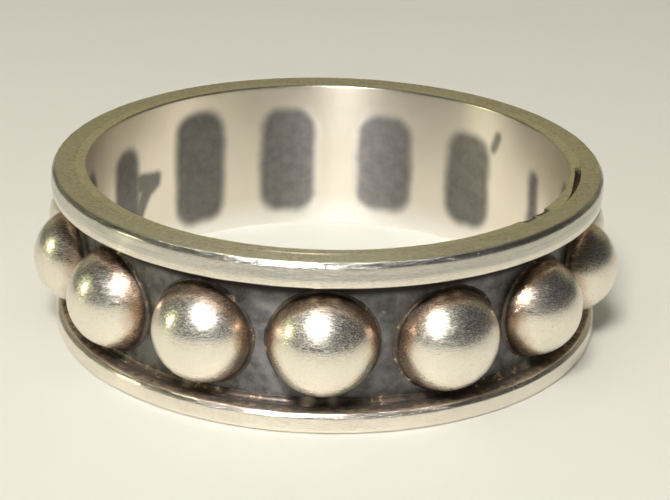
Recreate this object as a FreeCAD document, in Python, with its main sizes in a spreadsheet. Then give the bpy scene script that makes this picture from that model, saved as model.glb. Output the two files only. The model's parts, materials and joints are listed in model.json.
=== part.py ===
import FreeCAD, Part
import math
import os

import Sketcher
from FreeCAD import Placement, Rotation, Vector

# A finger ring. A thin liner sleeve carries two flat rims, and a row of half-ball beads is soldered into
# the channel between them. The ring stands on its lower rim: its axis is +Z, and the origin is the centre
# of the face it stands on. The first bead faces the front, which is -Y. All sizes are in millimetres.

SIZES = {
    "bore_diameter": 19.0,        # inside of the liner, an ordinary ring size
    "ring_width": 6.55,           # the whole ring along its axis
    "liner_wall": 0.45,           # sheet thickness of the liner
    "rim_diameter": 21.74,        # outside of both rims
    "upper_rim_height": 0.95,
    "lower_rim_height": 0.77,
    "rim_rounding": 0.17,         # worn outer edges of the rims
    "bore_rounding": 0.12,        # softened mouths of the bore
    "bead_count": 14,
    "bead_radius": 1.95,
    "bead_height": 3.06,          # of the bead centres, and of the recesses, above the standing face
    "bead_sink": 0.17,            # how far each bead centre lies below the channel floor
    "recess_depth": 0.08,         # shallow recesses inside the bore, behind the gaps between beads
    "recess_width": 2.50,
    "recess_length": 4.80,
    "recess_corner": 0.80,
    "recess_lag": 1.2,            # degrees by which the recesses trail the middle of the gaps
    "seam_leg": 0.22,             # legs of the solder fillet in each corner of the channel
    "collar_rise": 0.60,          # solder collar at each bead: its top above the bead centre
    "collar_root": 0.15,          # and how far below the bead centre it starts
    "collar_flare": 0.24,         # how much wider than the bead the collar is at its root
}

FULL_TURN = 360.0
FRONT = 270.0                     # azimuth of the front, where the first bead stands
RIGHT_ANGLE = 90.0
SAME = 1e-4                       # lengths closer than this are the same
ORIGIN, START, END, CENTRE = -1, 1, 2, 3      # how a sketch constraint names its points

BORE_RADIUS = "(sizes.bore_diameter / 2)"
RECESS_RADIUS = "(sizes.bore_diameter / 2 + sizes.recess_depth)"
LINER_RADIUS = "(sizes.bore_diameter / 2 + sizes.liner_wall)"
RIM_RADIUS = "(sizes.rim_diameter / 2)"
BEAD_RING_RADIUS = "(sizes.bore_diameter / 2 + sizes.liner_wall - sizes.bead_sink)"
UPPER_LEDGE = "(sizes.ring_width - sizes.upper_rim_height)"

doc = FreeCAD.newDocument("beaded_ring")
sheet = doc.addObject("Spreadsheet::Sheet", "sizes")


def fill_sheet():
    for row, (alias, size) in enumerate(SIZES.items(), start=1):
        sheet.set(f"A{row}", alias)
        sheet.set(f"B{row}", str(size))
        sheet.setAlias(f"B{row}", alias)
    doc.recompute()


def value(expression):
    return float(sheet.evalExpression(expression))


# Sketches and features


def new_body(label):
    body = doc.addObject("PartDesign::Body", label)
    body.Label = label
    return body


def new_sketch(body, name, plane_role):
    """A sketch on one of the body's own origin planes."""
    sketch = body.newObject("Sketcher::SketchObject", name)
    plane = next(item for item in body.Origin.OriginFeatures if item.Role == plane_role)
    sketch.AttachmentSupport = [(plane, "")]
    sketch.MapMode = "FlatFace"
    return sketch


def bind(sketch, kind, elements, expression):
    """A driving dimension tied to the sheet."""
    index = sketch.addConstraint(Sketcher.Constraint(kind, *elements, value(expression)))
    sketch.setExpression(f"Constraints[{index}]", expression)


def join_in_a_loop(sketch, count, kind="Coincident"):
    """Close a profile whose edges run end to end."""
    for edge in range(count):
        sketch.addConstraint(Sketcher.Constraint(kind, edge, END, (edge + 1) % count, START))


def draw_rectangle(sketch, left, right, bottom, top):
    """An upright rectangle whose sides stand at expressions measured from the origin."""
    low_x, high_x, low_y, high_y = (value(side) for side in (left, right, bottom, top))
    corners = [Vector(low_x, low_y), Vector(high_x, low_y), Vector(high_x, high_y), Vector(low_x, high_y)]
    for start, end in zip(corners, corners[1:] + corners[:1]):
        sketch.addGeometry(Part.LineSegment(start, end))
    join_in_a_loop(sketch, len(corners))
    for line, direction in enumerate(("Horizontal", "Vertical", "Horizontal", "Vertical")):
        sketch.addConstraint(Sketcher.Constraint(direction, line))
    bind(sketch, "DistanceX", (ORIGIN, START, 0, START), left)
    bind(sketch, "DistanceX", (ORIGIN, START, 1, START), right)
    bind(sketch, "DistanceY", (ORIGIN, START, 0, START), bottom)
    bind(sketch, "DistanceY", (ORIGIN, START, 2, START), top)


def turn(body, feature, name, sketch, axis="V_Axis"):
    """Revolve or groove a sketch through a full turn, by default about the ring's axis."""
    turned = body.newObject(feature, name)
    turned.Profile = sketch
    turned.ReferenceAxis = (sketch, [axis])
    turned.Angle = FULL_TURN
    doc.recompute()
    return turned


def repeat_round_the_ring(body, name, original, sketch):
    """One copy of a feature for each bead."""
    pattern = body.newObject("PartDesign::PolarPattern", name)
    pattern.Originals = [original]
    pattern.Axis = (sketch, ["V_Axis"])
    pattern.Angle = FULL_TURN
    pattern.setExpression("Occurrences", "sizes.bead_count")
    body.Tip = pattern
    doc.recompute()
    return pattern


def soften_circles(body, base, name, wanted, rounding):
    """Fillet the circular edges that stand at the wanted (radius, height) pairs."""
    names = []
    for number, edge in enumerate(base.Shape.Edges, start=1):
        if isinstance(edge.Curve, Part.Circle) and any(
                abs(edge.Curve.Radius - radius) < SAME and abs(edge.Curve.Center.z - height) < SAME
                for radius, height in wanted):
            names.append(f"Edge{number}")
    fillet = body.newObject("PartDesign::Fillet", name)
    fillet.Base = (base, names)
    fillet.setExpression("Radius", rounding)
    body.Tip = fillet
    doc.recompute()


def face_azimuth(body, degrees):
    """Turn a body that was drawn at +X to an azimuth about the ring's axis."""
    body.Placement = Placement(Vector(), Rotation(Vector(0, 0, 1), RIGHT_ANGLE))
    body.setExpression("Placement.Rotation.Angle", f"mod({degrees}; {FULL_TURN})")


def cut_seat(body):
    """Cut away what would stand inside the channel floor, which leaves a back hollowed to the liner."""
    section = new_sketch(body, "seat_section", "XZ_Plane")
    draw_rectangle(section, f"{BORE_RADIUS} / 2", LINER_RADIUS, "0", "sizes.ring_width")
    body.Tip = turn(body, "PartDesign::Groove", "seat", section)


# The pieces


def draw_recess_outline(sketch):
    """A rectangle with round corners, level with the beads: each corner is followed by a side."""
    corner = value("sizes.recess_corner")
    reach_x = value("sizes.recess_width / 2") - corner
    reach_y = value("sizes.recess_length / 2") - corner
    middle = value("sizes.bead_height")
    centres = [Vector(x * reach_x, middle + y * reach_y) for x, y in ((1, 1), (-1, 1), (-1, -1), (1, -1))]
    for number, (centre, following) in enumerate(zip(centres, centres[1:] + centres[:1])):
        start = math.radians(RIGHT_ANGLE * number)
        end = start + math.radians(RIGHT_ANGLE)
        sketch.addGeometry(Part.ArcOfCircle(Part.Circle(centre, Vector(0, 0, 1), corner), start, end))
        outwards = Vector(math.cos(end), math.sin(end)) * corner
        sketch.addGeometry(Part.LineSegment(centre + outwards, following + outwards))
    join_in_a_loop(sketch, 8, "Tangent")
    for line, direction in ((1, "Horizontal"), (3, "Vertical"), (5, "Horizontal"), (7, "Vertical")):
        sketch.addConstraint(Sketcher.Constraint(direction, line))
    for arc in (2, 4, 6):
        sketch.addConstraint(Sketcher.Constraint("Equal", 0, arc))
    bind(sketch, "Radius", (0,), "sizes.recess_corner")
    bind(sketch, "DistanceX", (3, START, ORIGIN, START), "sizes.recess_width / 2")
    bind(sketch, "DistanceX", (ORIGIN, START, 7, START), "sizes.recess_width / 2")
    bind(sketch, "DistanceY", (ORIGIN, START, 5, START), "sizes.bead_height - sizes.recess_length / 2")
    bind(sketch, "DistanceY", (ORIGIN, START, 1, START), "sizes.bead_height + sizes.recess_length / 2")


def make_liner():
    """The sleeve. Its inner skin is pierced first, and the outer skin then backs each opening, which
    leaves a shallow recess with a floor that follows the bore."""
    body = new_body("liner_sleeve")
    skin = new_sketch(body, "inner_skin_section", "XZ_Plane")
    draw_rectangle(skin, BORE_RADIUS, RECESS_RADIUS, "0", "sizes.ring_width")
    turn(body, "PartDesign::Revolution", "inner_skin", skin)

    outline = new_sketch(body, "recess_outline", "YZ_Plane")
    draw_recess_outline(outline)
    recess = body.newObject("PartDesign::Pocket", "recess")
    recess.Profile = outline
    recess.Reversed = True
    recess.setExpression("Length", LINER_RADIUS)
    doc.recompute()
    repeat_round_the_ring(body, "recesses", recess, outline)

    backing = new_sketch(body, "outer_skin_section", "XZ_Plane")
    draw_rectangle(backing, RECESS_RADIUS, LINER_RADIUS, "0", "sizes.ring_width")
    sleeve = turn(body, "PartDesign::Revolution", "outer_skin", backing)
    mouths = [(value(BORE_RADIUS), 0), (value(BORE_RADIUS), value("sizes.ring_width"))]
    soften_circles(body, sleeve, "bore_mouths", mouths, "sizes.bore_rounding")
    face_azimuth(body, f"{FRONT} + {FULL_TURN} / 2 / sizes.bead_count - sizes.recess_lag")
    return body


def make_rim(label, bottom, top):
    """A flat wire ring round the liner, with its outer edges worn round."""
    body = new_body(label)
    section = new_sketch(body, f"{label}_section", "XZ_Plane")
    draw_rectangle(section, LINER_RADIUS, RIM_RADIUS, bottom, top)
    hoop = turn(body, "PartDesign::Revolution", f"{label}_hoop", section)
    edges = [(value(RIM_RADIUS), value(bottom)), (value(RIM_RADIUS), value(top))]
    soften_circles(body, hoop, f"{label}_edges", edges, "sizes.rim_rounding")
    return body


def make_seam(label, ledge, inwards):
    """The solder fillet where a rim's ledge meets the liner, a triangle in section."""
    body = new_body(label)
    section = new_sketch(body, f"{label}_section", "XZ_Plane")
    leg = value("sizes.seam_leg")
    corner = Vector(value(LINER_RADIUS), value(ledge))
    along_ledge = corner + Vector(leg, 0)
    along_floor = corner + Vector(0, inwards * leg)
    for start, end in ((corner, along_ledge), (along_ledge, along_floor), (along_floor, corner)):
        section.addGeometry(Part.LineSegment(start, end))
    join_in_a_loop(section, 3)
    section.addConstraint(Sketcher.Constraint("Horizontal", 0))
    section.addConstraint(Sketcher.Constraint("Vertical", 2))
    bind(section, "DistanceX", (ORIGIN, START, 0, START), LINER_RADIUS)
    bind(section, "DistanceY", (ORIGIN, START, 0, START), ledge)
    bind(section, "DistanceX", (ORIGIN, START, 0, END), f"{LINER_RADIUS} + sizes.seam_leg")
    bind(section, "DistanceY", (ORIGIN, START, 2, START), f"{ledge} + {inwards} * sizes.seam_leg")
    body.Tip = turn(body, "PartDesign::Revolution", f"{label}_fillet", section)
    return body


def add_bead_axis(sketch):
    """A construction line through the bead's centre, square to the ring's axis."""
    centre = Vector(value(BEAD_RING_RADIUS), value("sizes.bead_height"))
    line = sketch.addGeometry(Part.LineSegment(centre, centre + Vector(value("sizes.bead_radius"), 0)), True)
    sketch.addConstraint(Sketcher.Constraint("Horizontal", line))
    bind(sketch, "DistanceX", (ORIGIN, START, line, START), BEAD_RING_RADIUS)
    bind(sketch, "DistanceY", (ORIGIN, START, line, START), "sizes.bead_height")
    bind(sketch, "DistanceX", (line, START, line, END), "sizes.bead_radius")
    return line


def make_bead(number):
    """A ball on the channel floor, with the part below the floor cut away."""
    body = new_body(f"bead_{number + 1:02d}")
    section = new_sketch(body, "ball_section", "XZ_Plane")
    centre = Vector(value(BEAD_RING_RADIUS), value("sizes.bead_height"))
    radius = value("sizes.bead_radius")
    circle = Part.Circle(centre, Vector(0, 0, 1), radius)
    section.addGeometry(Part.ArcOfCircle(circle, 0, math.pi))
    section.addGeometry(Part.LineSegment(centre - Vector(radius, 0), centre + Vector(radius, 0)))
    join_in_a_loop(section, 2)
    section.addConstraint(Sketcher.Constraint("Horizontal", 1))
    section.addConstraint(Sketcher.Constraint("PointOnObject", 0, CENTRE, 1))
    bind(section, "Radius", (0,), "sizes.bead_radius")
    bind(section, "DistanceX", (ORIGIN, START, 0, CENTRE), BEAD_RING_RADIUS)
    bind(section, "DistanceY", (ORIGIN, START, 0, CENTRE), "sizes.bead_height")
    add_bead_axis(section)
    turn(body, "PartDesign::Revolution", "ball", section, "Axis0")
    cut_seat(body)
    face_azimuth(body, f"{FRONT} + {number} * {FULL_TURN} / sizes.bead_count")
    return body


def make_collars():
    """The solder round the foot of every bead: a ring that hugs the ball and flares on to the floor."""
    body = new_body("bead_solder")
    body.AllowCompound = True
    section = new_sketch(body, "collar_section", "XZ_Plane")
    centre = Vector(value(BEAD_RING_RADIUS), value("sizes.bead_height"))
    radius = value("sizes.bead_radius")
    rise = value("sizes.collar_rise")
    root = value("sizes.collar_root")
    crest = centre + Vector(rise, math.sqrt(radius ** 2 - rise ** 2))
    foot = centre + Vector(-root, math.sqrt(radius ** 2 - root ** 2))
    toe = centre + Vector(-root, radius + value("sizes.collar_flare"))
    arc_ends = [math.atan2(point.y - centre.y, point.x - centre.x) for point in (crest, foot)]
    section.addGeometry(Part.ArcOfCircle(Part.Circle(centre, Vector(0, 0, 1), radius), *arc_ends))
    section.addGeometry(Part.LineSegment(foot, toe))
    section.addGeometry(Part.LineSegment(toe, crest))
    join_in_a_loop(section, 3)
    section.addConstraint(Sketcher.Constraint("Vertical", 1))
    bind(section, "Radius", (0,), "sizes.bead_radius")
    bind(section, "DistanceX", (ORIGIN, START, 0, CENTRE), BEAD_RING_RADIUS)
    bind(section, "DistanceY", (ORIGIN, START, 0, CENTRE), "sizes.bead_height")
    bind(section, "DistanceX", (0, CENTRE, 0, START), "sizes.collar_rise")
    bind(section, "DistanceX", (0, END, 0, CENTRE), "sizes.collar_root")
    bind(section, "DistanceY", (0, CENTRE, 1, END), "sizes.bead_radius + sizes.collar_flare")
    add_bead_axis(section)
    collar = turn(body, "PartDesign::Revolution", "collar", section, "Axis0")
    repeat_round_the_ring(body, "collars", collar, section)
    cut_seat(body)
    face_azimuth(body, f"{FRONT}")
    return body


# Checking and writing


def stop_if_failed(pieces):
    failed = [item.Name for item in doc.Objects if {"Invalid", "Error"} & set(item.State)]
    failed += [piece.Label for piece in pieces if piece.Shape.isNull() or not piece.Shape.isValid()]
    if failed:
        raise RuntimeError(f"these objects failed: {failed}")


def main():
    fill_sheet()
    pieces = [make_liner(),
              make_rim("upper_rim", UPPER_LEDGE, "sizes.ring_width"),
              make_rim("lower_rim", "0", "sizes.lower_rim_height"),
              make_seam("upper_rim_solder", UPPER_LEDGE, -1),
              make_seam("lower_rim_solder", "sizes.lower_rim_height", 1),
              make_collars()]
    pieces += [make_bead(number) for number in range(SIZES["bead_count"])]
    doc.recompute()
    stop_if_failed(pieces)
    os.makedirs("parts", exist_ok=True)
    for piece in pieces:
        piece.Shape.exportStep(f"parts/{piece.Label}.step")
        box = piece.Shape.BoundBox
        print(f"{piece.Label:18s} {len(piece.Shape.Solids):2d} solids {piece.Shape.Volume:8.3f} mm3"
              f"  z {box.ZMin:.2f} to {box.ZMax:.2f}")


main()
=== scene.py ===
import json
import math

import bpy
import numpy as np
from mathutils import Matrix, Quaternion, Vector, noise


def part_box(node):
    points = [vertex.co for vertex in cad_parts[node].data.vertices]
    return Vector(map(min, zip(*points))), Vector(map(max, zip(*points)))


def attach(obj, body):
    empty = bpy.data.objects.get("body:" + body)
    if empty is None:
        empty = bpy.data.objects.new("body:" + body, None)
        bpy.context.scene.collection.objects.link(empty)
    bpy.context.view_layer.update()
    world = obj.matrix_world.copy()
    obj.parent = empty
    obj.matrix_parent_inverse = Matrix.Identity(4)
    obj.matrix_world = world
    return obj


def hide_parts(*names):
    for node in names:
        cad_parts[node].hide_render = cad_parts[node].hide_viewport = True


# Looks for a silver finger ring: a liner sleeve, two flat rims, and half-ball beads soldered into the dark
# channel between them. Lengths are in metres, in the frame of the CAD model, unless a comment says mm.

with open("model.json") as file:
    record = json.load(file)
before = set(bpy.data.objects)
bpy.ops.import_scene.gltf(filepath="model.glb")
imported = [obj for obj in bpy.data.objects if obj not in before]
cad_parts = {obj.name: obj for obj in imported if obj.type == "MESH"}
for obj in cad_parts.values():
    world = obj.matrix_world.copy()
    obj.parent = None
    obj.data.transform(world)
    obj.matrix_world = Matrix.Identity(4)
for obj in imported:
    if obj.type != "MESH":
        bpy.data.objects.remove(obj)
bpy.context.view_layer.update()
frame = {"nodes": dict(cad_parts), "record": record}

MM = 0.001
BODY = "root"


# The frame's own sizes, which everything else follows


def reach_of(node):
    """How far a node stands out from the ring's axis."""
    points = np.array([vertex.co for vertex in frame["nodes"][node].data.vertices])
    return float(np.hypot(points[:, 0], points[:, 1]).max())


BEAD_NAMES = sorted(name for name in frame["nodes"] if name.startswith(("bead_0", "bead_1")))
BEAD_COUNT = len(BEAD_NAMES)
PITCH = 2 * math.pi / BEAD_COUNT
FRONT = -math.pi / 2             # azimuth of the first bead

bore = next(mount for mount in frame["record"]["mounts"] if mount["name"] == "finger_bore")
BORE_RADIUS = bore["dims"]["r_mm"] * MM
FLOOR_RADIUS = reach_of("liner_sleeve")          # of the channel
RIM_RADIUS = reach_of("upper_rim")
RING_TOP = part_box("upper_rim")[1].z
UPPER_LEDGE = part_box("upper_rim")[0].z
LOWER_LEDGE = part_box("lower_rim")[1].z

first_low, first_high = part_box(BEAD_NAMES[0])
BEAD_RADIUS = (first_high.z - first_low.z) / 2
BEAD_HEIGHT = (first_high.z + first_low.z) / 2
BEAD_RING_RADIUS = -first_low.y - BEAD_RADIUS

# Numbers for shapes


def smooth(low, high, x):
    """0 below low, 1 above high, and a smooth rise between."""
    t = np.clip((x - low) / (high - low), 0, 1)
    return t * t * (3 - 2 * t)


def rumple(points, size, seed):
    """Smooth noise from -1 to 1 at each point, with features about size across."""
    shift = Vector((7.3, 3.1, 5.7)) * seed
    return np.array([noise.noise(Vector(point) / size + shift) for point in points])


def angle_apart(azimuth, centre):
    """Signed angle from centre to azimuth, between -pi and pi."""
    return (azimuth - centre + math.pi) % (2 * math.pi) - math.pi


# Meshes


def make_piece(name, points, faces, material, nodes):
    """A smooth mesh that stands for some CAD nodes."""
    mesh = bpy.data.meshes.new(name)
    mesh.from_pydata([tuple(point) for point in points], [], faces)
    mesh.polygons.foreach_set("use_smooth", [True] * len(mesh.polygons))
    mesh.materials.append(material)
    mesh.update()
    piece = bpy.data.objects.new(name, mesh)
    bpy.context.scene.collection.objects.link(piece)
    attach(piece, BODY)
    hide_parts(*nodes)
    return piece


def paint(piece, name, values):
    """A number for each vertex, which the piece's material reads by name."""
    attribute = piece.data.attributes.new(name, "FLOAT", "POINT")
    attribute.data.foreach_set("value", np.asarray(values, np.float32))


def tube_faces(rows, columns, first=0):
    """Quads over a grid that is closed both ways, such as a lathed ring."""
    faces = []
    for row in range(rows):
        for column in range(columns):
            a = first + row * columns + column
            b = first + row * columns + (column + 1) % columns
            c = first + (row + 1) % rows * columns + (column + 1) % columns
            d = first + (row + 1) % rows * columns + column
            faces.append((a, d, c, b))
    return faces


def between(start, end, step):
    """Points that divide a straight run to the step, without its ends."""
    parts = max(1, math.ceil(np.linalg.norm(end - start) / step))
    return [tuple(start + (end - start) * i / parts) for i in range(1, parts)]


def rounded_section(corners, step):
    """Radius and height round a convex outline, anticlockwise. Each corner is a radius, a height and its own
    rounding, and straight runs are divided to the step."""
    outline = []
    arc_steps = 5
    for number, (radius, height, rounding) in enumerate(corners):
        here = np.array((radius, height))
        before = here - corners[number - 1][:2]
        after = np.array(corners[(number + 1) % len(corners)][:2]) - here
        before = before / np.linalg.norm(before)
        after = after / np.linalg.norm(after)
        turn = math.acos(float(before @ after))
        start = here - before * rounding * math.tan(turn / 2)
        if outline:
            outline += between(np.array(outline[-1]), start, step)
        left = np.array((-before[1], before[0]))
        for i in range(arc_steps + 1):
            angle = turn * i / arc_steps
            offset = math.sin(angle) * before + (1 - math.cos(angle)) * left
            outline.append(tuple(start + rounding * offset))
    return np.array(outline + between(np.array(outline[-1]), np.array(outline[0]), step))


def lathe(section, columns):
    """Azimuth, radius and height of every vertex of a section turned about the ring's axis."""
    azimuth = np.linspace(0, 2 * math.pi, columns, endpoint=False)
    rows = len(section)
    return np.tile(azimuth, rows), np.repeat(section[:, 0], columns), np.repeat(section[:, 1], columns)


def to_points(azimuth, radius, height):
    return np.stack([radius * np.cos(azimuth), radius * np.sin(azimuth), height], axis=1)


# Materials


class Surface:
    """A node material built round one Principled shader, with coordinates in millimetres."""

    def __init__(self, name, metallic=1.0):
        self.material = bpy.data.materials.new(name)
        self.material.use_nodes = True
        self.tree = self.material.node_tree
        self.tree.nodes.clear()
        output = self.add("ShaderNodeOutputMaterial")
        self.shader = self.add("ShaderNodeBsdfPrincipled")
        self.shade("Metallic", metallic)
        self.tree.links.new(self.shader.outputs[0], output.inputs["Surface"])
        place = self.add("ShaderNodeTexCoord").outputs["Object"]
        in_mm = self.add("ShaderNodeVectorMath", {0: place, "Scale": 1 / MM}, operation="SCALE")
        self.place = in_mm.outputs[0]
        split = self.add("ShaderNodeSeparateXYZ", {0: self.place})
        self.height = split.outputs[2]
        self.radius = self.math("SQRT", self.sum(self.math("POWER", split.outputs[0], 2.0),
                                                 self.math("POWER", split.outputs[1], 2.0)))

    def feed(self, socket, source):
        """Joins the output of a node to an input, or sets the input to a plain value."""
        if isinstance(source, bpy.types.NodeSocket):
            self.tree.links.new(source, socket)
        else:
            socket.default_value = source

    def add(self, kind, inputs=None, **settings):
        node = self.tree.nodes.new(kind)
        for key, setting in settings.items():
            setattr(node, key, setting)
        for key, source in (inputs or {}).items():
            self.feed(node.inputs[key], source)
        return node

    def shade(self, key, source):
        """One input of the Principled shader."""
        self.feed(self.shader.inputs[key], source)

    def math(self, operation, first, second=0.0):
        return self.add("ShaderNodeMath", {0: first, 1: second}, operation=operation).outputs[0]

    def times(self, first, second):
        return self.math("MULTIPLY", first, second)

    def sum(self, *sources):
        total = sources[0]
        for source in sources[1:]:
            total = self.math("ADD", total, source)
        return total

    def rise(self, source, low, high):
        """0 below low, 1 above high, smooth between. Low may be above high, for a fall."""
        return self.add("ShaderNodeMapRange", {"Value": source, "From Min": low, "From Max": high},
                        interpolation_type="SMOOTHSTEP").outputs["Result"]

    def noise(self, scale, detail=2.0, roughness=0.5, vector=None):
        """Noise from 0 to 1 with scale features per millimetre."""
        inputs = {"Vector": vector or self.place, "Scale": scale, "Detail": detail, "Roughness": roughness}
        return self.add("ShaderNodeTexNoise", inputs).outputs["Fac"]

    def stretched(self, scale, turn_degrees=(0, 0, 0)):
        """The place scaled along each axis, so that noise read there is drawn out where the scale is small.
        The turn comes after the scale, so it keeps that direction and gives another part of the noise."""
        turn = [math.radians(degrees) for degrees in turn_degrees]
        inputs = {"Vector": self.place, "Rotation": turn, "Scale": scale}
        return self.add("ShaderNodeMapping", inputs).outputs[0]

    def hairlines(self, turn_degrees, along, across, width):
        """Fine scratches along X: 1 on a line, 0 between. Along and across are features per millimetre."""
        field = self.noise(1.0, detail=1.0, vector=self.stretched((along, across, across), turn_degrees))
        distance = self.math("ABSOLUTE", self.math("SUBTRACT", field, 0.5))
        return self.rise(distance, width, 0.0)

    def painted(self, name):
        """The number that paint() gave the mesh under this name, or 0 on a mesh without it."""
        return self.add("ShaderNodeAttribute", attribute_name=name).outputs["Fac"]

    def blend(self, factor, first, second):
        """From the first colour to the second."""
        node = self.add("ShaderNodeMix", {0: factor}, data_type="RGBA", clamp_factor=True)
        for key, colour in ((6, first), (7, second)):
            self.feed(node.inputs[key], (*colour, 1.0) if isinstance(colour, tuple) else colour)
        return node.outputs[2]

    def bump(self, height, distance_mm):
        inputs = {"Height": height, "Distance": distance_mm * MM, "Strength": 1.0}
        return self.add("ShaderNodeBump", inputs).outputs[0]

    def brush_round_the_axis(self, amount):
        """Polishing lines that run round the ring, which spread reflections across them."""
        quarter_turn = 0.25
        self.shade("Tangent", self.add("ShaderNodeTangent", direction_type="RADIAL", axis="Z").outputs[0])
        self.shade("Anisotropic", amount)
        self.shade("Anisotropic Rotation", quarter_turn)

    def finish(self, colour, roughness, normal):
        self.shade("Base Color", colour)
        self.shade("Roughness", roughness)
        self.shade("Normal", normal)
        return self.material


SILVER = (0.92, 0.865, 0.765)
WARM_SILVER = (0.80, 0.70, 0.57)
# Painted reflection of the bright floor, low in the bore
FLOOR_REFLECTION_SILVER = (0.99, 0.97, 0.92)
# Painted reflection of the dim room, in streaks high on the upper rim's band
ROOM_REFLECTION_GREY = (0.52, 0.50, 0.46)
TARNISHED_SILVER = (0.57, 0.42, 0.305)
OLIVE_SHADE = (0.58, 0.54, 0.41)
OLIVE_LIGHT = (0.92, 0.87, 0.70)
OLIVE_CLOUD = (0.80, 0.82, 0.66)
GOLDEN_OXIDE = (0.46, 0.345, 0.215)
BROWN_OXIDE = (0.17, 0.125, 0.095)
LEDGE_BROWN = (0.150, 0.125, 0.108)
SOLDER_BROWN = (0.15, 0.115, 0.092)
BLACK_OXIDE = (0.075, 0.076, 0.080)
PATCH_GREY = (0.250, 0.243, 0.236)
CHANNEL_DARK = (0.12, 0.12, 0.123)
CHANNEL_LIGHT = (0.27, 0.268, 0.268)
CHANNEL_SPECK = (0.38, 0.37, 0.35)
# Painted shadow of the upper rim on the channel floor
RIM_SHADOW_BLACK = (0.042, 0.037, 0.034)
# Painted shade in the open joint and along the bites
GAP_SHADE_GREY = (0.17, 0.175, 0.165)


def scratched(surface, density, width):
    """Three sets of short fine scratches, as one height from 0 to 1."""
    sets = [surface.hairlines((12, 25, 40), 1.6, 12.0 * density, width),
            surface.hairlines((70, -35, 10), 1.8, 10.0 * density, width),
            surface.hairlines((-50, 60, 75), 1.4, 14.0 * density, width)]
    return surface.math("MINIMUM", surface.sum(*sets), 1.0)


def rubbed(surface):
    """How matt the polish is: a very fine grain with faint streaks, from 0 to a little over 1."""
    streaks = []
    for turn_degrees, across in (((10, 35, 0), 20.0), ((80, -20, 45), 17.0), ((-40, 60, 80), 23.0)):
        drawn_out = surface.stretched((2.5, across, across), turn_degrees)
        streaks.append(surface.rise(surface.noise(1.0, detail=1.0, vector=drawn_out), 0.50, 0.75))
    grain = surface.rise(surface.noise(80.0, detail=0.0), 0.52, 0.60)
    return surface.sum(surface.times(grain, 0.85), surface.times(surface.sum(*streaks), 0.13))


def bead_material():
    """Bright silver, brown with tarnish low on the sides. The grain is rough and the rest is smooth, so that
    reflections stay clear inside a soft glow."""
    surface = Surface("polished_bead_silver")
    scratches = scratched(surface, 0.8, 0.06)
    blotches = surface.noise(1.3, detail=3.0)
    above_floor = surface.math("SUBTRACT", surface.radius, FLOOR_RADIUS / MM)
    uneven = surface.sum(above_floor, surface.times(blotches, 0.6), -0.30)
    tarnish = surface.rise(uneven, 1.05, 0.50)
    foot = surface.rise(uneven, 0.40, 0.10)
    colour = surface.blend(surface.times(tarnish, 0.92), SILVER, TARNISHED_SILVER)
    colour = surface.blend(foot, colour, BROWN_OXIDE)
    pits = surface.rise(surface.noise(6.0, detail=0.0), 0.79, 0.84)
    waves = surface.noise(2.2, detail=1.0)
    roughness = surface.sum(0.12, surface.times(rubbed(surface), 0.29), surface.times(scratches, 0.14),
                            surface.times(foot, 0.15))
    height = surface.sum(surface.times(scratches, -0.55), surface.times(pits, -1.2),
                         surface.times(waves, 0.5))
    return surface.finish(colour, roughness, surface.bump(height, 0.003))


def on_top_face(surface):
    """1 on the flat top of the ring, 0 elsewhere."""
    near_top = surface.rise(surface.height, RING_TOP / MM - 0.05, RING_TOP / MM - 0.01)
    inside_edge = surface.rise(surface.radius, RIM_RADIUS / MM - 0.08, RIM_RADIUS / MM - 0.16)
    return surface.times(near_top, inside_edge)


def top_face_colour(surface):
    """Dull olive silver with darker and lighter flecks, and a faint line where the liner meets the rim."""
    flecks = surface.rise(surface.noise(6.0, detail=4.0, roughness=0.8), 0.28, 0.72)
    colour = surface.blend(flecks, OLIVE_SHADE, OLIVE_LIGHT)
    clouds = surface.rise(surface.noise(0.9, detail=2.0), 0.35, 0.65)
    colour = surface.blend(surface.times(clouds, 0.5), colour, OLIVE_CLOUD)
    off_joint = surface.math("ABSOLUTE", surface.math("SUBTRACT", surface.radius, FLOOR_RADIUS / MM))
    joint = surface.times(surface.rise(off_joint, 0.045, 0.0),
                          surface.rise(surface.noise(1.1, detail=2.0), 0.45, 0.65))
    return surface.blend(surface.times(joint, 0.18), colour, BROWN_OXIDE)


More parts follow.
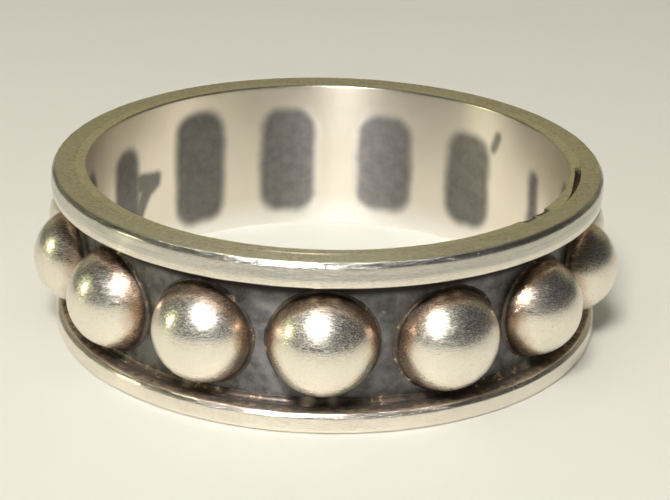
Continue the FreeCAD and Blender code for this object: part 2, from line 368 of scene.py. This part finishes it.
def rim_material():
    """Bright silver outside, greyer high on the upper rim as a painted reflection of the dim room, olive on
    top, and brown with golden patches on the ledges of the channel."""
    surface = Surface("worn_rim_silver")
    scratches = scratched(surface, 1.3, 0.03)
    grime = surface.noise(1.6, detail=4.0, roughness=0.6)
    below_top = surface.rise(surface.height, RING_TOP / MM - 0.30, RING_TOP / MM - 0.50)
    above_table = surface.rise(surface.height, 0.30, 0.50)
    deep = surface.rise(surface.radius, RIM_RADIUS / MM - 0.14, RIM_RADIUS / MM - 0.30)
    inside_channel = surface.times(surface.times(below_top, above_table), deep)
    oxide = surface.times(inside_channel, surface.rise(grime, 0.15, 0.40))
    top_face = on_top_face(surface)
    # Painted reflection: the upper part of the upper rim's band is greyed in horizontal streaks, standing for
    # the dim room it reflects.
    upper_band = surface.rise(surface.height, UPPER_LEDGE / MM + 0.22, UPPER_LEDGE / MM + 0.38)
    streaks = surface.noise(1.0, detail=3.0, vector=surface.stretched((0.25, 0.25, 6.0)))
    streaks = surface.rise(streaks, 0.35, 0.65)
    painted_room_reflection = surface.times(upper_band, surface.sum(0.45, surface.times(streaks, 0.35)))
    colour = surface.blend(painted_room_reflection, SILVER, ROOM_REFLECTION_GREY)
    colour = surface.blend(top_face, colour, top_face_colour(surface))
    gilded = surface.times(surface.rise(surface.noise(3.5, detail=3.0, roughness=0.6), 0.44, 0.58),
                           surface.rise(surface.radius, RIM_RADIUS / MM - 0.60, RIM_RADIUS / MM - 0.30))
    colour = surface.blend(oxide, colour, surface.blend(gilded, LEDGE_BROWN, GOLDEN_OXIDE))
    roughness = surface.sum(0.105, surface.times(oxide, 0.26), surface.times(scratches, 0.10),
                            surface.times(top_face, 0.24), surface.times(grime, 0.08))
    height = surface.sum(surface.times(scratches, -0.4), surface.times(surface.noise(5.0, detail=3.0), 1.6))
    surface.shade("Metallic", surface.math("SUBTRACT", 1.0, surface.times(oxide, 0.4)))
    surface.brush_round_the_axis(0.3)
    return surface.finish(colour, roughness, surface.bump(height, 0.005))


def channel_colour(surface, specks):
    """Blotchy grey oxide with pale specks, and a painted shadow of the upper rim, black just under it."""
    patchy = surface.rise(surface.noise(1.5, detail=4.0, roughness=0.6), 0.30, 0.70)
    colour = surface.blend(patchy, CHANNEL_DARK, CHANNEL_LIGHT)
    colour = surface.blend(surface.times(specks, 0.6), colour, CHANNEL_SPECK)
    # Painted shadow: black where the upper rim shades the channel floor just below it.
    rim_shadow = surface.rise(surface.height, UPPER_LEDGE / MM - 0.76, UPPER_LEDGE / MM - 0.48)
    return surface.blend(rim_shadow, colour, RIM_SHADOW_BLACK)


def liner_material():
    """Brushed silver in the bore, grey in its patches, olive on top, and dark on the channel's floor."""
    surface = Surface("liner_silver")
    grime = surface.noise(0.8, detail=3.0, roughness=0.5)
    outside = surface.times(surface.rise(surface.radius, FLOOR_RADIUS / MM - 0.12, FLOOR_RADIUS / MM - 0.04),
                            surface.math("LESS_THAN", surface.height, UPPER_LEDGE / MM + 0.02))
    mottled = surface.rise(surface.noise(2.2, detail=3.0, roughness=0.6), 0.30, 0.70)
    stain = surface.times(surface.painted("oxide"), surface.sum(0.92, surface.times(mottled, 0.08)))
    # Painted reflection: the bore is paler close to the table, where it reflects the bright floor.
    painted_floor_reflection = surface.rise(surface.height, 1.6, 0.1)
    top_face = on_top_face(surface)
    specks = surface.rise(surface.noise(9.0, detail=1.0), 0.66, 0.76)
    colour = surface.blend(surface.times(grime, 0.35), SILVER, WARM_SILVER)
    colour = surface.blend(painted_floor_reflection, colour, FLOOR_REFLECTION_SILVER)
    colour = surface.blend(stain, colour, PATCH_GREY)
    colour = surface.blend(top_face, colour, top_face_colour(surface))
    colour = surface.blend(outside, colour, channel_colour(surface, specks))
    # Painted shade in the open joint and along the bites.
    colour = surface.blend(surface.painted("gap"), colour, GAP_SHADE_GREY)
    roughness = surface.sum(0.33, surface.times(stain, 0.24), surface.times(outside, 0.14),
                            surface.times(top_face, 0.06))
    height = surface.sum(surface.noise(3.0, detail=2.0),
                         surface.times(specks, surface.times(outside, 1.5)))
    surface.brush_round_the_axis(surface.math("SUBTRACT", 0.75, surface.times(top_face, 0.45)))
    return surface.finish(colour, roughness, surface.bump(height, 0.004))


def solder_material():
    """Dark oxide with brown, golden and bright flecks, and silver where the mesh is painted bare."""
    surface = Surface("oxidised_solder", metallic=0.6)
    grime = surface.noise(3.0, detail=4.0, roughness=0.6)
    colour = surface.blend(surface.rise(grime, 0.36, 0.56), BLACK_OXIDE, SOLDER_BROWN)
    colour = surface.blend(surface.rise(grime, 0.58, 0.66), colour, GOLDEN_OXIDE)
    colour = surface.blend(surface.rise(grime, 0.66, 0.72), colour, SILVER)
    colour = surface.blend(surface.painted("bare"), colour, SILVER)
    roughness = surface.sum(0.30, surface.times(grime, 0.25))
    return surface.finish(colour, roughness, surface.bump(surface.noise(6.0, detail=2.0), 0.015))


# The pieces

# The dark patches in the bore, between the beads, in mm unless it says degrees
PATCH_HALF_WIDTH = 1.25
PATCH_LOW, PATCH_HIGH = 0.66, 5.46
PATCH_CORNER = 0.95
PATCH_DEPTH = 0.02
PATCH_LAG = 1.2                  # degrees behind the middle between two beads
PATCH_EDGE = (0.28, -0.30)       # distances outside its outline where a patch ends and where it is darkest
# How the patches at the back are worn: shift in degrees, half width, lower end and upper end in mm
WORN_PATCHES = {4: (-0.3, 0.38, 1.5, 4.7), 5: (-0.7, 1.17, 0.85, 5.2), 6: (-1.2, 1.28, 0.75, 5.3),
                7: (-0.7, 1.26, 0.60, 5.5), 8: (-0.7, 1.26, 0.60, 5.8), 9: (0.5, 0.92, 1.0, 5.2)}
# Stray strokes of oxide beside them: azimuth (degrees) and height (mm) at each end, and half width (mm)
STROKES = [((148.5, 3.5), (141.3, 3.35), 0.28), ((141.3, 3.35), (141.6, 3.15), 0.32),
           ((141.6, 3.15), (145.2, 2.8), 0.30), ((145.2, 2.8), (149.0, 1.8), 0.34),
           ((147.5, 3.15), (144.0, 3.15), 0.25), ((41.5, 4.8), (40.0, 5.45), 0.18)]
STROKE_EDGE = (0.16, -0.16)
STROKE_DARKNESS = 0.9


def patch_distance(across, height, half_width, low, high):
    """Distance in mm outside a rounded upright patch, negative inside."""
    corner = min(PATCH_CORNER, half_width)
    sideways = np.abs(across) - (half_width - corner)
    upwards = np.abs(height - (low + high) / 2) - ((high - low) / 2 - corner)
    beyond = np.hypot(np.maximum(sideways, 0), np.maximum(upwards, 0))
    return beyond + np.minimum(np.maximum(sideways, upwards), 0) - corner


def stroke_distance(azimuth, height, start, end, half_width):
    """Distance in mm from a straight stroke on the wall of the bore."""
    mm_per_degree = math.radians(1) * BORE_RADIUS / MM
    x = np.degrees(angle_apart(azimuth, math.radians(start[0]))) * mm_per_degree
    z = height - start[1]
    run = (end[0] - start[0]) * mm_per_degree
    climb = end[1] - start[1]
    share = np.clip((x * run + z * climb) / (run * run + climb * climb), 0, 1)
    return np.hypot(x - share * run, z - share * climb) - half_width


def bore_stain(azimuth, height):
    """How dark the bore is at each point: 1 inside a patch, 0 on the bright wall."""
    points = to_points(azimuth, BORE_RADIUS, height)
    ragged = rumple(points, 1.1 * MM, 1) * 0.10 + rumple(points, 0.35 * MM, 2) * 0.03
    height = height / MM
    stain = np.zeros_like(azimuth)
    unworn = (0.0, PATCH_HALF_WIDTH, PATCH_LOW, PATCH_HIGH)
    for number in range(BEAD_COUNT):
        shift, half_width, low, high = WORN_PATCHES.get(number, unworn)
        centre = FRONT + (number + 0.5) * PITCH + math.radians(shift - PATCH_LAG)
        across = angle_apart(azimuth, centre) * BORE_RADIUS / MM
        outside = patch_distance(across, height, half_width, low, high) + ragged
        stain = np.maximum(stain, smooth(*PATCH_EDGE, outside))
    for start, end, half_width in STROKES:
        outside = stroke_distance(azimuth, height, start, end, half_width) + ragged
        stain = np.maximum(stain, STROKE_DARKNESS * smooth(*STROKE_EDGE, outside))
    return stain


# The open stretch of the joint between the liner and the upper rim, in degrees and mm. It widens slowly from
# its start and closes abruptly at its end.
OPEN_JOINT_START, OPEN_JOINT_WIDEST, OPEN_JOINT_END = 332.0, 348.6, 356.6
OPEN_JOINT_CLOSING = 0.6
OPEN_JOINT_WIDTH = 0.24
OPEN_JOINT_DEPTH = 0.22
# Two small bites out of the top edge of the bore: centre and half width in degrees, depth in mm
EDGE_BITES = ((319.4, 2.4, 0.17), (324.8, 2.4, 0.15))


def open_joint(azimuth, radius, height):
    """The liner's outer wall drawn back from the upper rim, and where the wall of that gap gets painted
    shade.
    """
    degrees = np.degrees(azimuth) % 360
    width = OPEN_JOINT_WIDTH * smooth(OPEN_JOINT_START, OPEN_JOINT_WIDEST, degrees)
    width = width * smooth(OPEN_JOINT_END, OPEN_JOINT_END - OPEN_JOINT_CLOSING, degrees) * MM
    steady = BORE_RADIUS + 0.12 * MM
    share = np.clip((radius - steady) / (FLOOR_RADIUS - steady), 0, 1)
    upper = smooth(RING_TOP - OPEN_JOINT_DEPTH * MM, RING_TOP - (OPEN_JOINT_DEPTH - 0.1) * MM, height)
    # Painted shade on the liner's wall inside the gap.
    wall = (share > 0.99) & (height < RING_TOP - 0.02 * MM)
    return radius - width * share * upper, np.where(wall, upper * (width > 0.03 * MM), 0.0)


def edge_bites(azimuth, radius, height):
    """Bites out of the top edge of the bore, and where their edge gets painted shade."""
    degrees = np.degrees(azimuth) % 360
    depth = np.zeros_like(radius)
    for centre, half_width, deepest in EDGE_BITES:
        arc = np.sqrt(np.clip(1 - ((degrees - centre) / half_width) ** 2, 0, 1))
        depth = np.maximum(depth, deepest * MM * arc)
    upper = smooth(RING_TOP - 0.55 * MM, RING_TOP - 0.15 * MM, height)
    near = np.clip((FLOOR_RADIUS - radius) / (FLOOR_RADIUS - BORE_RADIUS), 0, 1)
    pushed = radius + depth * upper * near
    # Painted shade along the bitten edge.
    dark = (depth > 0.04 * MM) * smooth(RING_TOP - 0.45 * MM, RING_TOP - 0.25 * MM, height)
    return pushed, dark * smooth(BORE_RADIUS + 0.34 * MM, BORE_RADIUS + 0.24 * MM, radius)


# How corners are rounded
JOINED_ROUNDING = 0.01 * MM      # where a corner lies against another piece
BORE_TOP_ROUNDING = 0.07 * MM
BORE_FOOT_ROUNDING = 0.03 * MM
LOWER_EDGE_ROUNDING = 0.12 * MM
# The chamfer along the upper edge of a rim
CHAMFER_HEIGHT = 0.155 * MM
CHAMFER_WIDTH = 0.125 * MM
CHAMFER_ROUNDING = 0.17 * MM


def make_liner():
    """The sleeve with its stained bore, the open stretch of its joint, and the bites out of its edge."""
    step = 0.125 * MM
    columns = 720
    section = rounded_section([(BORE_RADIUS, 0.0, BORE_FOOT_ROUNDING), (FLOOR_RADIUS, 0.0, JOINED_ROUNDING),
                               (FLOOR_RADIUS, RING_TOP, JOINED_ROUNDING),
                               (BORE_RADIUS, RING_TOP, BORE_TOP_ROUNDING)], step)
    azimuth, radius, height = lathe(section, columns)
    in_bore = smooth(BORE_RADIUS + 0.05 * MM, BORE_RADIUS + 0.01 * MM, radius)
    stain = bore_stain(azimuth, height) * in_bore
    radius = radius + stain * PATCH_DEPTH * MM
    radius, open_joint_shade = open_joint(azimuth, radius, height)
    radius, bites = edge_bites(azimuth, radius, height)
    piece = make_piece("bore_liner", to_points(azimuth, radius, height), tube_faces(len(section), columns),
                       liner_material(), ["liner_sleeve"])
    paint(piece, "oxide", stain)
    # Painted shade for the open joint and the bites.
    paint(piece, "gap", np.maximum(open_joint_shade, bites))


def make_rim(name, low, high, crown, material):
    """A rim with nicked edges, whose outer side leans in towards the top by the crown."""
    step = 0.12 * MM
    columns = 840
    section = rounded_section([(FLOOR_RADIUS, low, JOINED_ROUNDING), (RIM_RADIUS, low, LOWER_EDGE_ROUNDING),
                               (RIM_RADIUS, high - CHAMFER_HEIGHT, CHAMFER_ROUNDING),
                               (RIM_RADIUS - CHAMFER_WIDTH, high, CHAMFER_ROUNDING),
                               (FLOOR_RADIUS, high, JOINED_ROUNDING)], step)
    azimuth, radius, height = lathe(section, columns)
    points = to_points(azimuth, radius, height)
    at_edge = smooth(RIM_RADIUS - 0.25 * MM, RIM_RADIUS - 0.05 * MM, radius)
    dents = np.maximum(rumple(points, 1.1 * MM, 3), 0) * 0.02 * MM
    nicks = np.abs(rumple(points, 0.3 * MM, 4)) * 0.006 * MM
    straight_share = 0.35
    lean = np.clip((height - low) / (high - low) - straight_share, 0, 1) / (1 - straight_share)
    radius = radius - (dents + nicks + crown * lean ** 2) * at_edge
    make_piece(f"worn_{name}", to_points(azimuth, radius, height), tube_faces(len(section), columns),
               material, [name])


# Listed beads: how each differs from the pattern in azimuth (degrees), radius and height (mm)
HAND_SET = {0: (-0.3, 0.03, 0.08), 1: (0.4, 0.03, -0.08), 2: (0.3, -0.04, 0.0), 3: (-0.2, -0.06, 0.03),
            11: (0.2, -0.04, 0.02), 12: (-0.3, 0.0, -0.02), 13: (-0.3, -0.02, 0.0)}


def bead_set(number):
    """A bead's azimuth, radius and height."""
    turn, growth, lift = HAND_SET.get(number, (0.0, 0.0, 0.0))
    return FRONT + number * PITCH + math.radians(turn), BEAD_RADIUS + growth * MM, BEAD_HEIGHT + lift * MM


def bead_frame(azimuth):
    """A bead's outward, sideways and upward directions."""
    outward = np.array((math.cos(azimuth), math.sin(azimuth), 0.0))
    sideways = np.array((-math.sin(azimuth), math.cos(azimuth), 0.0))
    return outward, sideways, np.array((0.0, 0.0, 1.0))


def foot_cosine(around, radius, centre):
    """Cosine of the angle from a bead's outward direction to where it meets the channel floor."""
    square = (radius * np.sin(around)) ** 2
    linear = 2 * centre * radius
    constant = centre ** 2 + (radius * np.cos(around)) ** 2 - FLOOR_RADIUS ** 2
    return -2 * constant / (linear + np.sqrt(linear ** 2 - 4 * square * constant))


def make_bead(number, material):
    """Part of a ball with faint dents, closed at the back along the curve of the channel's floor."""
    azimuth, radius, height = bead_set(number)
    outward, sideways, upward = bead_frame(azimuth)
    rows, columns, seat_rows = 48, 96, 6
    around = np.linspace(0, 2 * math.pi, columns, endpoint=False)
    foot = np.arccos(foot_cosine(around, radius, BEAD_RING_RADIUS))
    points = [outward * (BEAD_RING_RADIUS + radius)]
    for row in range(1, rows + 1):
        tilt = foot * row / rows
        for angle, spin in zip(tilt, around):
            points.append(outward * (BEAD_RING_RADIUS + radius * math.cos(angle))
                          + radius * math.sin(angle) * (math.cos(spin) * sideways + math.sin(spin) * upward))
    for row in range(1, seat_rows):
        share = 1 - row / seat_rows
        for angle, spin in zip(foot, around):
            across = share * radius * math.sin(angle) * math.cos(spin)
            along = share * radius * math.sin(angle) * math.sin(spin)
            floor = math.sqrt(FLOOR_RADIUS ** 2 - across ** 2)
            points.append(outward * floor + across * sideways + along * upward)
    points.append(outward * FLOOR_RADIUS)
    points = np.array(points)
    dents = np.abs(rumple(points, 1.3 * MM, 10 + number)) * 0.008 * MM
    away = points - outward * BEAD_RING_RADIUS
    points = points - away / np.linalg.norm(away, axis=1)[:, None] * dents[:, None]
    points = points + upward * height
    faces = [(0, 1 + column, 1 + (column + 1) % columns) for column in range(columns)]
    last = len(points) - 1
    for row in range(rows + seat_rows - 2):
        for column in range(columns):
            a = 1 + row * columns + column
            b = 1 + row * columns + (column + 1) % columns
            faces.append((a, a + columns, b + columns, b))
    ring = 1 + (rows + seat_rows - 2) * columns
    faces += [(ring + column, last, ring + (column + 1) % columns) for column in range(columns)]
    make_piece(f"silver_{BEAD_NAMES[number]}", points, faces, material, [BEAD_NAMES[number]])


SEAM_LEG = 0.22                  # mm, along the ledge and up the floor of the channel
SEAM_UNEVENNESS = 0.05           # mm
LUMP_SIZE = 0.09                 # mm, added to the leg at a lump
LUMP_SPREAD = 2.9                # degrees from the middle of a bead to each of its two lumps
LUMP_HALF_WIDTH = 2.2            # degrees
LUMP_BRIGHTNESS = 0.8


def solder_lumps(azimuth):
    """1 at the two places beside the foot of each bead where solder may pile up, 0 between."""
    lumps = np.zeros_like(azimuth)
    for number in range(BEAD_COUNT):
        for side in (-1, 1):
            centre = bead_set(number)[0] + side * math.radians(LUMP_SPREAD)
            degrees_off = np.degrees(np.abs(angle_apart(azimuth, centre)))
            lumps = np.maximum(lumps, smooth(LUMP_HALF_WIDTH, 0.0, degrees_off))
    return lumps


def make_seam(name, ledge, inwards, material):
    """A hollow solder fillet in a corner of the channel, with an uneven edge and bright lumps."""
    columns = 720
    steps = 6
    azimuth = np.linspace(0, 2 * math.pi, columns, endpoint=False)
    edge = to_points(azimuth, FLOOR_RADIUS, np.full(columns, ledge))
    lumps = solder_lumps(azimuth) * smooth(-0.30, 0.25, rumple(edge, 1.4 * MM, 9))
    leg = (SEAM_LEG + SEAM_UNEVENNESS * rumple(edge, 1.2 * MM, 5) + LUMP_SIZE * lumps) * MM
    rings = [to_points(azimuth, np.full(columns, FLOOR_RADIUS), np.full(columns, ledge))]
    for i in range(steps + 1):
        angle = math.radians(90) * i / steps
        rings.append(to_points(azimuth, FLOOR_RADIUS + leg * (1 - math.sin(angle)),
                               ledge + inwards * leg * (1 - math.cos(angle))))
    faces = tube_faces(len(rings), columns)
    if inwards < 0:
        faces = [tuple(reversed(face)) for face in faces]
    piece = make_piece(f"{name}_fillet", np.concatenate(rings), faces, material, [name])
    paint(piece, "bare", np.tile(LUMP_BRIGHTNESS * lumps, len(rings)))


COLLAR_LEG = 0.10                # mm, up the bead and along the floor of the channel
COLLAR_UNEVENNESS = 0.04         # mm
COLLAR_GAP = 0.002 * MM          # lifts a collar's edges a hair off the floor and the bead


def make_collars(material):
    """The solder round the foot of every bead, hollow in section and uneven."""
    columns = 72
    steps = 5
    points = []
    faces = []
    around = np.linspace(0, 2 * math.pi, columns, endpoint=False)
    for number in range(BEAD_COUNT):
        azimuth, radius, height = bead_set(number)
        outward, sideways, upward = bead_frame(azimuth)
        foot = np.arccos(foot_cosine(around, radius, BEAD_RING_RADIUS))
        first = len(points)
        rim = [radius * (math.cos(spin) * sideways + math.sin(spin) * upward) + outward * BEAD_RING_RADIUS
               for spin in around]
        size = (COLLAR_LEG + COLLAR_UNEVENNESS * rumple(rim, 0.8 * MM, 6)) * MM
        rings = []
        for step in range(steps + 1):
            angle = math.radians(90) * step / steps
            out = size * (1 - math.sin(angle)) + COLLAR_GAP
            up = size * (1 - math.cos(angle)) + COLLAR_GAP
            rings.append((out, up))
        rings.append((np.zeros(columns), np.zeros(columns)))
        for out, up in rings:
            reach = radius * np.sin(foot) + out
            across = reach * np.cos(around)
            along = reach * np.sin(around)
            floor = np.sqrt(FLOOR_RADIUS ** 2 - across ** 2)
            for i in range(columns):
                points.append(outward * (floor[i] + up[i]) + across[i] * sideways
                              + (along[i] + height) * upward)
        faces += [tuple(reversed(face)) for face in tube_faces(len(rings), columns, first)]
    make_piece("bead_solder_collars", points, faces, material, ["bead_solder"])


# The stage: a camera, a plain pale floor, four lights and a dim room

CENTRE = Vector((0, 0, RING_TOP / 2))
CAMERA_ELEVATION = math.radians(22.06)
CAMERA_DISTANCE = 6.626 * RIM_RADIUS
CAMERA_LENS = 96.0
SENSOR_WIDTH = 36.0
CAMERA_ROLL = math.radians(1.28)
AIM_RIGHT = 0.35 * MM
AIM_DOWN = 0.65 * MM
CLIP_START = 1 * MM
FLOOR_HALF_WIDTH = 1.5
FLOOR_ROUGHNESS = 0.62
FLOOR_SHADE = (0.80, 0.785, 0.735)
FLOOR_LIGHT = (0.84, 0.825, 0.775)
ROOM_DARK = (0.040, 0.040, 0.040, 1.0)
ROOM_OLIVE = (0.385, 0.345, 0.21, 1.0)


def direction(azimuth_degrees, elevation_degrees):
    """A unit vector. Azimuth 0 is the camera's side, -Y, and 90 is +X."""
    azimuth = math.radians(azimuth_degrees)
    elevation = math.radians(elevation_degrees)
    return Vector((math.sin(azimuth) * math.cos(elevation), -math.cos(azimuth) * math.cos(elevation),
                   math.sin(elevation)))


def make_camera():
    back = direction(0, math.degrees(CAMERA_ELEVATION))
    up = Vector((0, math.sin(CAMERA_ELEVATION), math.cos(CAMERA_ELEVATION)))
    aim = CENTRE + Vector((AIM_RIGHT, 0, 0)) - up * AIM_DOWN
    data = bpy.data.cameras.new("camera")
    data.lens = CAMERA_LENS
    data.sensor_width = SENSOR_WIDTH
    camera = bpy.data.objects.new("camera", data)
    camera.location = CENTRE + back * CAMERA_DISTANCE
    camera.rotation_mode = "QUATERNION"
    look = (aim - camera.location).to_track_quat("-Z", "Y")
    camera.rotation_quaternion = look @ Quaternion((0, 0, 1), CAMERA_ROLL)
    data.clip_start = CLIP_START
    bpy.context.scene.collection.objects.link(camera)
    bpy.context.scene.camera = camera


def make_floor():
    half = FLOOR_HALF_WIDTH
    corners = [(-half, -half, 0), (half, -half, 0), (half, half, 0), (-half, half, 0)]
    mesh = bpy.data.meshes.new("floor")
    mesh.from_pydata(corners, [], [(0, 1, 2, 3)])
    surface = Surface("pale_floor", metallic=0.0)
    colour = surface.blend(surface.noise(0.02), FLOOR_SHADE, FLOOR_LIGHT)
    mesh.materials.append(surface.finish(colour, FLOOR_ROUGHNESS, surface.bump(surface.noise(3.0), 0.002)))
    floor = bpy.data.objects.new("floor", mesh)
    bpy.context.scene.collection.objects.link(floor)


def make_light(name, place, power, colour, size, size_y=None, in_reflections=True, on_matt=True):
    """An area light turned to the ring. It may be left out of reflections, or out of the light on matt
    surfaces."""
    data = bpy.data.lights.new(name, "AREA")
    data.energy = power
    data.color = colour
    data.shape = "DISK" if size_y is None else "RECTANGLE"
    data.size = size
    if size_y is not None:
        data.size_y = size_y
    light = bpy.data.objects.new(name, data)
    light.location = place
    light.rotation_mode = "QUATERNION"
    light.rotation_quaternion = (CENTRE - place).to_track_quat("-Z", "Y")
    light.visible_glossy = in_reflections
    light.visible_diffuse = on_matt
    bpy.context.scene.collection.objects.link(light)


def make_lights():
    """A small lamp close to the ring and a narrow window at the left, for reflections only, and two soft
    lights that stay out of reflections."""
    make_light("lamp", CENTRE + direction(-10, 39) * 0.031, power=0.0092, colour=(1.0, 0.98, 0.96),
               size=0.0046, on_matt=False)
    make_light("window", CENTRE + direction(-84, 17.5) * 0.50, power=0.30, colour=(1.0, 1.0, 0.62),
               size=0.05, size_y=0.11, on_matt=False)
    make_light("softbox", CENTRE + direction(-12, 50) * 0.24, power=0.49, colour=(1.0, 0.985, 0.91),
               size=0.06, size_y=0.06, in_reflections=False)
    make_light("ceiling", CENTRE + direction(-20, 75) * 0.30, power=0.305, colour=(1.0, 0.985, 0.90),
               size=0.30, size_y=0.30, in_reflections=False)


def make_world():
    """A dim room: olive high up behind the ring, and dark along the horizon, at the sides and in front."""
    world = bpy.data.worlds.new("room")
    world.use_nodes = True
    tree = world.node_tree
    tree.nodes.clear()
    place = tree.nodes.new("ShaderNodeTexCoord")
    split = tree.nodes.new("ShaderNodeSeparateXYZ")
    tree.links.new(place.outputs["Generated"], split.inputs[0])
    shares = []
    for axis, low, high in ((1, 0.40, 0.84), (2, 0.04, 0.22)):
        share = tree.nodes.new("ShaderNodeMapRange")
        share.interpolation_type = "SMOOTHSTEP"
        share.inputs["From Min"].default_value = low
        share.inputs["From Max"].default_value = high
        tree.links.new(split.outputs[axis], share.inputs["Value"])
        shares.append(share.outputs["Result"])
    both = tree.nodes.new("ShaderNodeMath")
    both.operation = "MULTIPLY"
    tree.links.new(shares[0], both.inputs[0])
    tree.links.new(shares[1], both.inputs[1])
    mix = tree.nodes.new("ShaderNodeMix")
    mix.data_type = "RGBA"
    mix.inputs[6].default_value = ROOM_DARK
    mix.inputs[7].default_value = ROOM_OLIVE
    background = tree.nodes.new("ShaderNodeBackground")
    output = tree.nodes.new("ShaderNodeOutputWorld")
    tree.links.new(both.outputs[0], mix.inputs[0])
    tree.links.new(mix.outputs[2], background.inputs["Color"])
    tree.links.new(background.outputs[0], output.inputs["Surface"])
    bpy.context.scene.world = world


def main():
    make_liner()
    rim = rim_material()
    make_rim("upper_rim", UPPER_LEDGE, RING_TOP, 0.06 * MM, rim)
    make_rim("lower_rim", 0.0, LOWER_LEDGE, 0.0, rim)
    bead = bead_material()
    for number in range(BEAD_COUNT):
        make_bead(number, bead)
    solder = solder_material()
    make_seam("upper_rim_solder", UPPER_LEDGE, -1, solder)
    make_seam("lower_rim_solder", LOWER_LEDGE, 1, solder)
    make_collars(solder)
    make_camera()
    make_floor()
    make_lights()
    make_world()
    bpy.context.scene.view_settings.view_transform = "Standard"


main()
